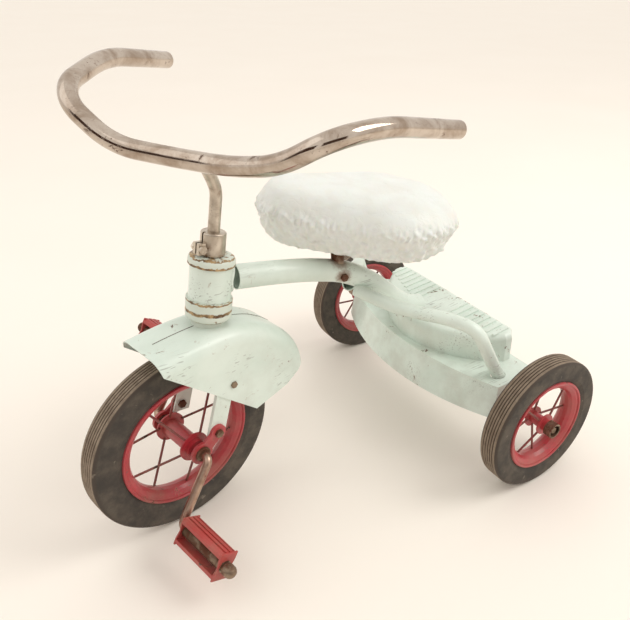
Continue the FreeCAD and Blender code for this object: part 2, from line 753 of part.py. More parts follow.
def cup(height):
    """Bearing cup standing on z = 0: a domed body, a spigot below that fits the tube, and a running bore."""
    body = Part.makeCylinder(CUP_R, height)
    body = body.makeFillet(min(CUP_ROUND, 0.6 * height), top_edges(body, height))
    spigot = Part.makeCylinder(HEAD_TUBE_R - HEAD_TUBE_WALL, CUP_SKIRT, V(0, 0, -CUP_SKIRT))
    bore = Part.makeCylinder(STEERER_R + FIT, height + CUP_SKIRT, V(0, 0, -CUP_SKIRT))
    return body.fuse(spigot).cut(bore)


def clamp_collar():
    """Split collar round the steerer's top, with two ears in front for the clamp bolt."""
    body = Part.makeCylinder(COLLAR_R, COLLAR_H, V(0, 0, COLLAR_BOTTOM))
    body = body.makeFillet(COLLAR_ROUND, top_edges(body, COLLAR_TOP))
    half = COLLAR_EAR_HALF
    ear_low = COLLAR_BOTTOM + COLLAR_EAR_FROM
    ear_high = ear_low + COLLAR_EAR_H
    ears = block((0, -half, ear_low), (COLLAR_R + COLLAR_EAR, half, ear_high))
    slit = block((0, -COLLAR_SLIT / 2, 0), (LONG, COLLAR_SLIT / 2, 2 * LONG))
    bore = Part.makeCylinder(STEERER_R, COLLAR_H, V(0, 0, COLLAR_BOTTOM))
    across = COLLAR_R + COLLAR_EAR / 2
    middle = (ear_low + ear_high) / 2
    hole = rod((across, -half, middle), (across, half, middle), COLLAR_BOLT_R)
    length = 2 * half + BOLT_NUT_H
    screw = bolt((across, half, middle), V(0, -1, 0), COLLAR_BOLT_R, length, 0.9 * BOLT_HEAD_R, BOLT_HEAD_H)
    nut = bolt((across, -half, middle), Y_AXIS, COLLAR_BOLT_R, half, 0.85 * BOLT_HEAD_R, BOLT_NUT_H)
    nodes["clamp_collar"] = fork_place(body.fuse(ears).cut(slit).cut(bore).cut(hole))
    nodes["collar_bolt"] = fork_place(screw.fuse(nut))


def handlebar():
    """Bent tube handlebar with open ends, and the gooseneck stem welded under its middle."""
    left = [(BAR_MID_U + u, v, BAR_MID_W + w) for u, v, w in BAR_LEFT]
    right = [(BAR_MID_U + u, -v, BAR_MID_W + w) for u, v, w in BAR_RIGHT]
    ends = []
    for half in (left, right):
        tip = V(*half[-1])
        run = (tip - V(*half[-2])).normalize()
        half[-1] = tuple(tip - run * BAR_END)
        ends.append(pipe_between(half[-1], tuple(tip), BAR_R, BAR_R - BAR_WALL))
    bar = tube(right[::-1] + left, BAR_R, BAR_R - BAR_WALL).multiFuse(ends)
    nodes["handlebar"] = fork_place(bar, REST_STEER + BAR_TURN)
    rise = (0.45 * BAR_MID_U, 0, STEM_BEND_W + STEM_RISE)
    stem_path = [(0, 0, COLLAR_TOP - STEM_IN), (0, 0, STEM_BEND_W), rise, (BAR_MID_U, 0, BAR_MID_W)]
    seat = rod((BAR_MID_U, -STEM_SADDLE, BAR_MID_W), (BAR_MID_U, STEM_SADDLE, BAR_MID_W), BAR_R)
    nodes["stem"] = fork_place(tube(stem_path, STEM_R).cut(seat), REST_STEER + BAR_TURN)


# ---- frame and deck ----

def across_frame(x, z, radius):
    """Cutter along Y, right through the frame."""
    return rod((x, -LONG, z), (x, LONG, z), radius)


def backbone():
    """Curved main tube from the head tube, under the seat and down onto the step."""
    body = tube([(x, 0, z) for x, z in BACKBONE_PATH], BACKBONE_R, BACKBONE_R - BACKBONE_WALL)
    head_tube = fork_place(Part.makeCylinder(HEAD_TUBE_R, 2 * LONG), 0.0)
    body = body.cut(head_tube).cut(step_solid(0.0, 0.0))
    body = body.cut(across_frame(SEAT_BOLT_X, SEAT_BOLT_Z, SEAT_BOLT_R))
    body = body.cut(rod((SEAT_BOLT_X, 0, SEAT_BOLT_Z), (SEAT_BOLT_X, 0, LONG), POST_R))
    nodes["backbone"] = max(body.Solids, key=lambda s: s.Volume)


def side_points(side):
    """Corners of a stay's path, down to its foot."""
    points = [SIDE_START] + SIDE_PATH + [(0.0, SIDE_FOOT_Y, REAR_WHEEL_R + 0.8 * FOOT_R)]
    return [(x, side * y, z) for x, y, z in points]


def side_tube(side, name):
    """Stay from under the backbone, out over the step and down to the axle, with a flattened foot."""
    z = REAR_WHEEL_R
    foot = rod((0, SIDE_FOOT_Y - FOOT_THICK / 2, z), (0, SIDE_FOOT_Y + FOOT_THICK / 2, z), FOOT_R)
    trunk = tube([(x, 0, z) for x, z in BACKBONE_PATH], BACKBONE_R)
    body = tube(side_points(1), SIDE_R, SIDE_R - SIDE_WALL).cut(trunk).cut(across_frame(0, z, FOOT_R))
    body = max(body.Solids, key=lambda s: s.Volume).fuse(foot).cut(across_frame(0, z, AXLE_R))
    nodes["side_tube_" + name] = body if side > 0 else mirrored(body)


def bow(half, rear, front, end, z, corner):
    """Deck outline at height z: straight back, cut corners, and a front bowed forward from its two ends."""
    behind = [V(rear, -half + corner, z), V(rear, half - corner, z), V(rear + corner, half, z)]
    left = V(max(end, rear + corner + 1.0), half, z)
    right = V(left.x, -half, z)
    corners = behind + [left]
    edges = [Part.makeLine(a, b) for a, b in zip(corners, corners[1:])]
    edges.append(Part.Arc(left, V(front, 0, z), right).toShape())
    edges.append(Part.makeLine(right, V(rear + corner, -half, z)))
    edges.append(Part.makeLine(V(rear + corner, -half, z), behind[0]))
    return Part.Wire(edges)


def pan_form(inset, top, bottom):
    """Closed form of the lower deck between two heights."""
    half = PAN_HALF - inset
    rear = PAN_REAR + inset
    front = PAN_FRONT - inset
    end = PAN_END - inset
    upper = bow(half - PAN_LEAN, rear, front, end, top, PAN_CORNER)
    lower = bow(half, rear, front + PAN_FLARE, end + 0.5 * PAN_FLARE, bottom, PAN_CORNER)
    return Part.makeLoft([lower, upper], True, True)


def deck_pan():
    """Lower deck: a pressed pan, open below, with a bowed apron that flares out towards its hem."""
    shell = pan_form(0.0, PAN_TOP, PAN_BOTTOM).cut(pan_form(PAN_THICK, PAN_TOP - PAN_THICK, PAN_BOTTOM))
    for side in (-1, 1):
        shell = shell.cut(tube(side_points(side), SIDE_R + SIDE_CLEAR))
    nodes["deck_pan"] = shell.cut(across_frame(0, REAR_WHEEL_R, AXLE_R))


def step_slope():
    """Fall of the step's top for each millimetre forward."""
    return (STEP_REAR_H - STEP_FRONT_H) / (STEP_FRONT - STEP_REAR)


def step_solid(inset, drop):
    """Closed form of the raised step: bowed plan, top sloping up to the back."""
    plan = bow(STEP_HALF - inset, STEP_REAR + inset, STEP_FRONT - inset, STEP_END, PAN_TOP, STEP_CORNER)
    body = Part.Face(plan).extrude(V(0, 0, 2 * (STEP_REAR_H - PAN_TOP)))
    fall = step_slope() * LONG
    back = STEP_REAR - LONG
    front = STEP_FRONT + LONG
    above = [(back, STEP_REAR_H + fall - drop), (front, STEP_FRONT_H - fall - drop)]
    above += [(front, STEP_REAR_H + LONG), (back, STEP_REAR_H + LONG)]
    body = body.cut(plate(above, 2 * LONG, 0.0))
    low = STEP_FRONT_H - drop
    tops = [e for e in body.Edges if e.BoundBox.ZMin > low - STEP_THICK]
    return body.makeFillet(STEP_EDGE_R - inset, tops)


def ribs():
    """Anti-slip ribs pressed up along the step, in two groups either side of its smooth middle."""
    bars = []
    slope = step_slope()
    start_x = STEP_REAR + STEP_EDGE_R
    start_z = STEP_REAR_H - slope * STEP_EDGE_R
    count = int((STEP_HALF - RIB_FIRST - STEP_EDGE_R) / RIB_PITCH) + 1
    for i in range(count):
        reach = RIB_LEN - RIB_SHORTER * i
        end_x = start_x + reach
        end_z = start_z - slope * reach
        outline = [(start_x, start_z - STEP_THICK / 2), (start_x + RIB_H, start_z + RIB_H)]
        outline += [(end_x - RIB_H, end_z + RIB_H), (end_x, end_z - STEP_THICK / 2)]
        for side in (-1, 1):
            bars.append(plate(outline, RIB_W, side * (RIB_FIRST + i * RIB_PITCH)))
    return bars


def deck_step():
    """Raised step on the pan: a rounded pressing with ribs on its top."""
    hollow = step_solid(STEP_THICK, STEP_THICK)
    nodes["deck_step"] = step_solid(0.0, 0.0).cut(hollow).multiFuse(ribs())


# ---- seat ----

def seat_outline(grow, z):
    """Saddle outline: wide round back and a narrower round nose, joined by straight flanks."""
    back_r = SEAT_REAR_W / 2 + grow
    nose_r = SEAT_NOSE_W / 2 + grow
    back = V(-SEAT_LEN / 2 + SEAT_REAR_W / 2, 0, z)
    nose = V(SEAT_LEN / 2 - SEAT_NOSE_W / 2, 0, z)
    lean = math.acos((back_r - nose_r) / (nose.x - back.x))
    side = V(math.cos(lean), math.sin(lean), 0)
    twin = V(side.x, -side.y, 0)
    edges = [
        Part.Arc(back + side * back_r, back - X_AXIS * back_r, back + twin * back_r).toShape(),
        Part.makeLine(back + twin * back_r, nose + twin * nose_r),
        Part.Arc(nose + twin * nose_r, nose + X_AXIS * nose_r, nose + side * nose_r).toShape(),
        Part.makeLine(nose + side * nose_r, back + side * back_r),
    ]
    return Part.Face(Part.Wire(edges))


def seat_place(shape):
    """From the seat's own frame to its place over the backbone."""
    placed = shape.copy()
    turn = FreeCAD.Placement(V(SEAT_MID[0], SEAT_MID[1], SEAT_BASE), FreeCAD.Rotation(Z_AXIS, SEAT_TURN))
    tilt = FreeCAD.Placement(ORIGIN, FreeCAD.Rotation(Y_AXIS, -SEAT_TILT))
    placed.Placement = turn.multiply(tilt).multiply(placed.Placement)
    return placed


def seat():
    """Sheet steel pan on its post, foam pad, and the loose film gathered in under the pad."""
    pad_top = SEAT_PAN_THICK + SEAT_PAD_H
    pan = seat_outline(-SEAT_PAN_INSET, 0.0).extrude(V(0, 0, SEAT_PAN_THICK))
    pad = seat_outline(0.0, SEAT_PAN_THICK).extrude(V(0, 0, SEAT_PAD_H))
    pad = pad.makeFillet(SEAT_PAD_EDGE, top_edges(pad, pad_top))
    pad = pad.makeFillet(SEAT_PAD_UNDER, top_edges(pad, SEAT_PAN_THICK))
    film = seat_outline(COVER_THICK, 0.0).extrude(V(0, 0, pad_top + COVER_THICK))
    film = film.makeFillet(SEAT_PAD_EDGE + COVER_THICK, top_edges(film, pad_top + COVER_THICK))
    film = film.makeFillet(SEAT_PAD_UNDER, top_edges(film, 0.0))
    nodes["seat_pan"] = seat_place(pan)
    nodes["seat_pad"] = seat_place(pad)
    nodes["seat_cover"] = seat_place(film.cut(pad).cut(pan))
    nodes["seat_post"] = seat_post()
    right = V(0, -1, 0)
    length = 2 * BACKBONE_R + BOLT_NUT_H
    screw = bolt((SEAT_BOLT_X, BACKBONE_R, SEAT_BOLT_Z), right, SEAT_BOLT_R, length, BOLT_HEAD_R, BOLT_HEAD_H)
    far = (SEAT_BOLT_X, -BACKBONE_R, SEAT_BOLT_Z)
    nut = bolt(far, Y_AXIS, SEAT_BOLT_R, BACKBONE_R, BOLT_HEAD_R, BOLT_NUT_H)
    nodes["seat_bolt"] = screw.fuse(nut)


def seat_post():
    """Round post standing in a hole in the backbone, with a disc that lies flat under the tilted pan."""
    x = SEAT_BOLT_X
    post = rod((x, 0, SEAT_BOLT_Z - POST_IN), (x, 0, SEAT_BASE + POST_PLATE_R), POST_R)
    under = FreeCAD.Rotation(Z_AXIS, -SEAT_TURN).multVec(V(x - SEAT_MID[0], -SEAT_MID[1], 0))
    disc = Part.makeCylinder(POST_PLATE_R, POST_PLATE_THICK, V(under.x, under.y, -POST_PLATE_THICK))
    above = seat_place(Part.makeBox(2 * LONG, 2 * LONG, LONG, V(-LONG, -LONG, 0)))
    return post.fuse(seat_place(disc)).cut(above).cut(across_frame(x, SEAT_BOLT_Z, SEAT_BOLT_R))


def main():
    head()
    clamp_collar()
    handlebar()
    fork()
    fender()
    front_wheel()
    for side, name in ((1, "left"), (-1, "right")):
        pedal(side, name)
        rear_wheel(side, name)
        side_tube(side, name)
    backbone()
    rear_axle()
    deck_pan()
    deck_step()
    seat()
    boxes = [shape.optimalBoundingBox(False) for shape in nodes.values()]
    middle_x = (min(b.XMin for b in boxes) + max(b.XMax for b in boxes)) / 2
    middle_y = (min(b.YMin for b in boxes) + max(b.YMax for b in boxes)) / 2
    shift = V(-middle_x, -middle_y, 0)
    os.makedirs("parts", exist_ok=True)
    for name, shape in nodes.items():
        placed = shape.copy()
        placed.translate(shift)
        placed.exportStep("parts/" + name + ".step")
    print("moved by", round(shift.x, 3), round(shift.y, 3))


main()
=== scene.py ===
import json
import math

import bmesh
import bpy
import numpy as np
from mathutils import Matrix, Vector


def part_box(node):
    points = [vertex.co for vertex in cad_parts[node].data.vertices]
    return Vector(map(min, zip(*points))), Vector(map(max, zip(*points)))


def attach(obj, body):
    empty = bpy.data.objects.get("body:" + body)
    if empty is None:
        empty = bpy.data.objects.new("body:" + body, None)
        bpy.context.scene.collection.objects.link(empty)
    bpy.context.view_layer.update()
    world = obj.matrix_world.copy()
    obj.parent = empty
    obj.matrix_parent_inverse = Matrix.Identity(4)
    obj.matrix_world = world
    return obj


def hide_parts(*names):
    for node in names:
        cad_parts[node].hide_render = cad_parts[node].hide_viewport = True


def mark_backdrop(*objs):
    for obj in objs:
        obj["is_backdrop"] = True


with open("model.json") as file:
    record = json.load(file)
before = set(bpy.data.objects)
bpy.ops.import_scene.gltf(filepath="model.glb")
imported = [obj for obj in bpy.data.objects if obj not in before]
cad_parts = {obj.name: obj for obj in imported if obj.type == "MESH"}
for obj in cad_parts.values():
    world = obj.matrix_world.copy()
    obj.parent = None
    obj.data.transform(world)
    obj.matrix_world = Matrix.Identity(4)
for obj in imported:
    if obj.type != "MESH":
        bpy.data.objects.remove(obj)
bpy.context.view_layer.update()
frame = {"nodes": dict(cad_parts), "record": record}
NODES = frame["nodes"]


def place(x, y, z=0.0):
    """A point measured from the middle of the rear axle, dropped to the floor, in metres."""
    low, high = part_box("rear_axle")
    return Vector(((low.x + high.x) / 2 + x, (low.y + high.y) / 2 + y, z))


# ---- camera, floor and light ----

CAMERA_AT = (0.6123, 0.6767, 0.6867)
CAMERA_YAW = math.radians(233.1)
CAMERA_PITCH = math.radians(-29.73)
CAMERA_ROLL = math.radians(1.75)
CAMERA_LENS = 36.28
CAMERA_SHIFT = (-0.1181, 0.0049)


def make_camera():
    """Camera by yaw, pitch and roll, looking down its own -Z."""
    ahead = Vector((math.cos(CAMERA_YAW) * math.cos(CAMERA_PITCH),
                    math.sin(CAMERA_YAW) * math.cos(CAMERA_PITCH), math.sin(CAMERA_PITCH)))
    level = Vector((ahead.y, -ahead.x, 0)).normalized()
    over = level.cross(ahead)
    right = level * math.cos(CAMERA_ROLL) + over * math.sin(CAMERA_ROLL)
    up = over * math.cos(CAMERA_ROLL) - level * math.sin(CAMERA_ROLL)
    turn = Matrix((right, up, -ahead)).transposed()
    data = bpy.data.cameras.new("camera")
    data.sensor_width = 36.0
    data.lens = CAMERA_LENS
    data.shift_x, data.shift_y = CAMERA_SHIFT
    data.clip_start = 0.02
    camera = bpy.data.objects.new("camera", data)
    camera.matrix_world = Matrix.Translation(place(*CAMERA_AT)) @ turn.to_4x4()
    bpy.context.scene.collection.objects.link(camera)
    bpy.context.scene.camera = camera


def linear(value):
    """Linear strength of one 0-255 screen value."""
    share = value / 255
    return share / 12.92 if value < 11 else ((share + 0.055) / 1.055) ** 2.4


def srgb(r, g, b):
    """Linear opaque colour from 0-255 screen values."""
    return (linear(r), linear(g), linear(b), 1.0)


def lamp(name, at, size, power, colour, target=(0.15, 0.0, 0.15)):
    """Soft square lamp aimed at the tricycle."""
    data = bpy.data.lights.new(name, "AREA")
    data.shape = "SQUARE"
    data.size = size
    data.energy = power
    data.color = colour
    obj = bpy.data.objects.new(name, data)
    obj.location = place(*at)
    obj.rotation_euler = (place(*target) - obj.location).to_track_quat("-Z", "Y").to_euler()
    bpy.context.scene.collection.objects.link(obj)
    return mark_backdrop(obj)


class Graph:
    """A node tree with short calls: add() makes a node, sets it and links what it is given."""

    def __init__(self, tree):
        self.tree = tree

    def add(self, kind, inputs=None, **settings):
        node = self.tree.nodes.new(kind)
        for key, value in settings.items():
            setattr(node, key, value)
        for key, value in (inputs or {}).items():
            self.join(value, node.inputs[key])
        return node

    def join(self, value, socket):
        """Link a socket to another, or set it to a plain value."""
        if isinstance(value, bpy.types.NodeSocket):
            self.tree.links.new(value, socket)
        else:
            socket.default_value = value

    def math(self, operation, a, b=0.0, c=0.0, clamp=False):
        node = self.add("ShaderNodeMath", {0: a, 1: b, 2: c}, operation=operation, use_clamp=clamp)
        return node.outputs[0]

    def noise(self, vector, scale, detail=5.0, rough=0.55, distortion=0.0):
        return self.add("ShaderNodeTexNoise", {"Vector": vector, "Scale": scale, "Detail": detail,
                                               "Roughness": rough, "Distortion": distortion}).outputs["Fac"]

    def step(self, value, low, high, to_low=0.0, to_high=1.0):
        """Smooth step from low to high."""
        node = self.add("ShaderNodeMapRange", {"Value": value, "From Min": low, "From Max": high,
                                               "To Min": to_low, "To Max": to_high},
                        interpolation_type="SMOOTHSTEP")
        return node.outputs["Result"]

    def mix(self, factor, a, b):
        """Colour a at factor 0, colour b at factor 1."""
        node = self.add("ShaderNodeMix", {"Factor": factor}, data_type="RGBA")
        self.join(a, node.inputs[6])
        self.join(b, node.inputs[7])
        return node.outputs[2]

    def stretch(self, vector, scale, turn=(0, 0, 0)):
        """Coordinates scaled and turned, to draw noise out along one direction."""
        node = self.add("ShaderNodeMapping", {"Vector": vector, "Scale": scale, "Rotation": turn})
        return node.outputs["Vector"]


def node_group(name, inputs, outputs, build):
    """A shader node group with named sockets; build(graph, inputs) returns its outputs in order."""
    tree = bpy.data.node_groups.new(name, "ShaderNodeTree")
    for label, kind, value in inputs:
        socket = tree.interface.new_socket(label, in_out="INPUT", socket_type="NodeSocket" + kind)
        if value is not None:
            socket.default_value = value
    for label, kind in outputs:
        tree.interface.new_socket(label, in_out="OUTPUT", socket_type="NodeSocket" + kind)
    graph = Graph(tree)
    entry = tree.nodes.new("NodeGroupInput")
    leave = tree.nodes.new("NodeGroupOutput")
    results = build(graph, {label: entry.outputs[label] for label, _, _ in inputs})
    for (label, _), result in zip(outputs, results):
        graph.join(result, leave.inputs[label])
    return tree


def build_patches(g, i):
    """Soft cloud cut between two levels."""
    cloud = g.noise(i["Vector"], i["Scale"], 8.0, 0.62, 0.4)
    return [g.step(cloud, i["Low"], i["High"])]


def build_chips(g, i):
    """Small sharp chips that gather in patches, and a wider stain round them."""
    fine = g.noise(i["Vector"], i["Scale"], 6.0, 0.68, 0.8)
    wide = g.noise(i["Vector"], g.math("MULTIPLY", i["Scale"], 0.16), 3.0, 0.5)
    both = g.math("ADD", fine, g.math("MULTIPLY", wide, 0.55))
    level = g.math("SUBTRACT", 1.12, g.math("MULTIPLY", i["Amount"], 0.3))
    chips = g.step(both, level, g.math("ADD", level, 0.012))
    stain = g.step(both, g.math("SUBTRACT", level, 0.07), g.math("ADD", level, 0.03))
    return [chips, stain]


def build_scuffs(g, i):
    """Fine lines in three directions, broken up by a cloud."""
    total = None
    for turn in ((0.3, 0.9, 0.2), (1.1, -0.4, 0.8), (-0.7, 0.3, 1.7)):
        lined = g.stretch(i["Vector"], (14.0, 420.0, 420.0), turn)
        line = g.step(g.noise(lined, 1.0, 2.0, 0.4), 0.655, 0.70)
        total = line if total is None else g.math("MAXIMUM", total, line)
    cloud = g.step(g.noise(i["Vector"], 16.0, 3.0), 0.5, 0.66)
    return [g.math("MULTIPLY", g.math("MULTIPLY", total, cloud), i["Amount"], clamp=True)]


def build_grain(g, i):
    """Height of a fine orange-peel with slow dents under it."""
    fine = g.noise(i["Vector"], i["Scale"], 3.0, 0.5)
    slow = g.noise(i["Vector"], g.math("MULTIPLY", i["Scale"], 0.09), 2.0, 0.5)
    return [g.math("ADD", g.math("MULTIPLY", fine, 0.35), slow)]


def build_dust(g, i):
    """Grime that thickens towards the floor."""
    height = g.add("ShaderNodeSeparateXYZ", {"Vector": i["Vector"]}).outputs["Z"]
    low = g.step(height, i["Top"], 0.0)
    cloud = g.step(g.noise(i["Vector"], 26.0, 7.0, 0.6), 0.35, 0.72)
    return [g.math("MULTIPLY", g.math("ADD", low, 0.25), cloud, clamp=True)]


VECTOR_IN = ("Vector", "Vector", None)
PATCHES = node_group("Patches", [VECTOR_IN, ("Scale", "Float", 20.0), ("Low", "Float", 0.5),
                                 ("High", "Float", 0.6)],
                     [("Mask", "Float")], build_patches)
CHIPS = node_group("Paint chips", [VECTOR_IN, ("Scale", "Float", 90.0), ("Amount", "Float", 0.5)],
                   [("Chips", "Float"), ("Stain", "Float")], build_chips)
SCUFFS = node_group("Scuffs", [VECTOR_IN, ("Amount", "Float", 1.0)], [("Mask", "Float")], build_scuffs)
GRAIN = node_group("Grain", [VECTOR_IN, ("Scale", "Float", 500.0)], [("Height", "Float")], build_grain)
DUST = node_group("Dust", [VECTOR_IN, ("Top", "Float", 0.3)], [("Mask", "Float")], build_dust)


def use(g, tree, **inputs):
    """Place a node group in a graph and return its outputs."""
    node = g.tree.nodes.new("ShaderNodeGroup")
    node.node_tree = tree
    for key, value in inputs.items():
        g.join(value, node.inputs[key])
    return node.outputs


def material(name):
    """An empty node material: (material, graph, shader, object coordinates)."""
    mat = bpy.data.materials.new(name)
    mat.use_nodes = True
    mat.node_tree.nodes.clear()
    g = Graph(mat.node_tree)
    shader = g.add("ShaderNodeBsdfPrincipled")
    out = g.add("ShaderNodeOutputMaterial")
    g.join(shader.outputs[0], out.inputs["Surface"])
    spot = g.add("ShaderNodeTexCoord").outputs["Object"]
    return mat, g, shader, spot


def bump(g, shader, height, strength, distance):
    """Height into the shader's normal; distance in metres."""
    node = g.add("ShaderNodeBump", {"Height": height, "Strength": strength, "Distance": distance})
    g.join(node.outputs["Normal"], shader.inputs["Normal"])


def rust_rings(g, spot, stains):
    """Stain that fades out round each fixing, its edge broken up by noise: (point, reach in metres)."""
    total = 0.0
    edge = 0.012
    ragged = g.math("MULTIPLY", g.noise(spot, 240.0, 5.0, 0.65), edge)
    for point, reach in stains:
        away = g.add("ShaderNodeVectorMath", {0: spot, 1: point}, operation="DISTANCE").outputs["Value"]
        ring = g.step(g.math("ADD", away, ragged), reach + edge / 2, 0.4 * reach + edge / 2)
        total = g.math("MAXIMUM", total, ring)
    return total


def enamel(name, light, dark, bare, chip_amount, gloss=0.3, chip_scale=85.0, stains=()):
    """Old gloss enamel: slow tone changes, grime, chips down to rust, scuff lines, and rust round the
    fixings."""
    mat, g, shader, spot = material(name)
    tone = use(g, PATCHES, Vector=spot, Scale=9.0, Low=0.35, High=0.7)["Mask"]
    colour = g.mix(tone, light, dark)
    dust = use(g, DUST, Vector=spot, Top=0.28)["Mask"]
    colour = g.mix(g.math("MULTIPLY", dust, 0.30), colour, srgb(150, 138, 118))
    chips = use(g, CHIPS, Vector=spot, Scale=chip_scale, Amount=chip_amount)
    colour = g.mix(g.math("MULTIPLY", chips["Stain"], 0.45), colour, srgb(158, 128, 100))
    colour = g.mix(chips["Chips"], colour, bare)
    if stains:
        colour = g.mix(g.math("MULTIPLY", rust_rings(g, spot, stains), 0.8), colour, srgb(128, 88, 60))
    scuffs = use(g, SCUFFS, Vector=spot, Amount=1.0)["Mask"]
    colour = g.mix(g.math("MULTIPLY", scuffs, 0.45), colour, srgb(96, 88, 80))
    g.join(colour, shader.inputs["Base Color"])
    rough = g.math("ADD", gloss, g.math("MULTIPLY", chips["Chips"], 0.45))
    rough = g.math("ADD", rough, g.math("MULTIPLY", dust, 0.22), clamp=True)
    g.join(rough, shader.inputs["Roughness"])
    shader.inputs["Coat Weight"].default_value = 0.25
    shader.inputs["Coat Roughness"].default_value = 0.12
    grain = use(g, GRAIN, Vector=spot, Scale=420.0)["Height"]
    height = g.math("SUBTRACT", g.math("MULTIPLY", grain, 0.25), chips["Chips"])
    bump(g, shader, height, 0.35, 0.0006)
    return mat


def metal(name, light, dark, rust, rust_low, rust_high, smooth, dull, rust_scale=40.0):
    """Plated or bare steel: pitting and rust blooms over a brushed tone."""
    mat, g, shader, spot = material(name)
    tone = use(g, PATCHES, Vector=spot, Scale=30.0, Low=0.35, High=0.7)["Mask"]
    colour = g.mix(tone, light, dark)
    bloom = use(g, PATCHES, Vector=spot, Scale=rust_scale, Low=rust_low, High=rust_high)["Mask"]
    pits = use(g, CHIPS, Vector=spot, Scale=260.0, Amount=0.55)
    rusty = g.math("MAXIMUM", bloom, g.math("MULTIPLY", pits["Chips"], 0.8))
    colour = g.mix(rusty, colour, rust)
    scuffs = use(g, SCUFFS, Vector=spot, Amount=1.0)["Mask"]
    colour = g.mix(g.math("MULTIPLY", scuffs, 0.4), colour, srgb(120, 104, 90))
    g.join(colour, shader.inputs["Base Color"])
    g.join(g.math("SUBTRACT", 1.0, g.math("MULTIPLY", rusty, 0.75)), shader.inputs["Metallic"])
    rough = g.math("ADD", smooth, g.math("MULTIPLY", tone, dull))
    g.join(g.math("ADD", rough, g.math("MULTIPLY", rusty, 0.4), clamp=True), shader.inputs["Roughness"])
    grain = use(g, GRAIN, Vector=spot, Scale=600.0)["Height"]
    height = g.math("ADD", g.math("MULTIPLY", grain, 0.2), g.math("MULTIPLY", rusty, 0.5))
    bump(g, shader, height, 0.2, 0.0004)
    return mat


def joint(name):
    """The record's joint of that name."""
    return next(j for j in frame["record"]["behaviour"]["joints"] if j["name"] == name)


def tyre_material(name, joint_name, radius, tread_worn):
    """Black rubber, brown and dusty on the tread, with moulded rings on the sidewall."""
    spin = joint(joint_name)
    mat, g, shader, spot = material(name)
    turn = Vector((0, 1, 0)).rotation_difference(Vector(spin["axis"])).to_euler()
    own = g.add("ShaderNodeMapping", {"Vector": spot, "Location": spin["pos_m"], "Rotation": turn},
                vector_type="TEXTURE").outputs["Vector"]
    part = g.add("ShaderNodeSeparateXYZ", {"Vector": own}).outputs
    away = g.math("SQRT", g.math("ADD", g.math("MULTIPLY", part["X"], part["X"]),
                                 g.math("MULTIPLY", part["Z"], part["Z"])))
    reach = g.math("DIVIDE", away, radius)
    tread = g.step(reach, 0.955, 0.985)
    cloud = g.noise(spot, 34.0, 8.0, 0.65)
    side = g.mix(g.step(cloud, 0.35, 0.7), srgb(58, 53, 48), srgb(92, 84, 74))
    worn = g.mix(g.step(g.noise(spot, 70.0, 6.0, 0.7), 0.3, 0.7), srgb(118, 102, 86), tread_worn)
    groove = g.step(reach, 0.992, 0.998)
    worn = g.mix(groove, srgb(70, 60, 52), worn)
    colour = g.mix(tread, side, worn)
    marks = use(g, PATCHES, Vector=spot, Scale=60.0, Low=0.62, High=0.7)["Mask"]
    colour = g.mix(g.math("MULTIPLY", marks, 0.5), colour, srgb(150, 138, 122))
    g.join(colour, shader.inputs["Base Color"])
    g.join(g.math("ADD", 0.62, g.math("MULTIPLY", cloud, 0.3)), shader.inputs["Roughness"])
    rings = g.math("SINE", g.math("MULTIPLY", away, 1500.0))
    rings = g.math("MULTIPLY", rings, g.step(reach, 0.9, 0.94))
    rough = g.noise(spot, 380.0, 5.0, 0.7)
    bump(g, shader, g.math("ADD", g.math("MULTIPLY", rings, 0.12), rough), 0.3, 0.0008)
    return mat


# Bare bands on the head cups: place up the steering axis from the joint, and half width, in metres.
CUP_BANDS = [(-0.0145, 0.0026), (-0.0015, 0.0016), (-0.0262, 0.0012), (0.0452, 0.0018), (0.0540, 0.0010)]


def cup_material():
    """Mint paint rubbed through to brassy metal along the cups' rims: bands at set heights up the steering
    axis, their edges broken up by noise, and a few bare patches."""
    mat, g, shader, spot = material("worn_cup")
    steer = joint("steering")
    turn = Vector((0, 0, 1)).rotation_difference(Vector(steer["axis"])).to_euler()
    own = g.add("ShaderNodeMapping", {"Vector": spot, "Location": steer["pos_m"], "Rotation": turn},
                vector_type="TEXTURE").outputs["Vector"]
    height = g.add("ShaderNodeSeparateXYZ", {"Vector": own}).outputs["Z"]
    ragged = g.math("MULTIPLY", g.math("SUBTRACT", g.noise(spot, 150.0, 5.0, 0.6), 0.5), 0.006)
    bare = use(g, PATCHES, Vector=spot, Scale=60.0, Low=0.62, High=0.66)["Mask"]
    for at, half in CUP_BANDS:
        off = g.math("ABSOLUTE", g.math("SUBTRACT", g.math("ADD", height, ragged), at))
        bare = g.math("MAXIMUM", bare, g.step(off, half, 0.5 * half))
    tone = use(g, PATCHES, Vector=spot, Scale=90.0, Low=0.35, High=0.65)["Mask"]
    brass = g.mix(tone, srgb(188, 160, 118), srgb(96, 72, 54))
    g.join(g.mix(bare, srgb(214, 222, 211), brass), shader.inputs["Base Color"])
    g.join(g.math("MULTIPLY", bare, 0.55), shader.inputs["Metallic"])
    g.join(g.math("ADD", 0.3, g.math("MULTIPLY", tone, 0.2)), shader.inputs["Roughness"])
    bump(g, shader, g.math("SUBTRACT", 0.0, bare), 0.3, 0.0004)
    return mat


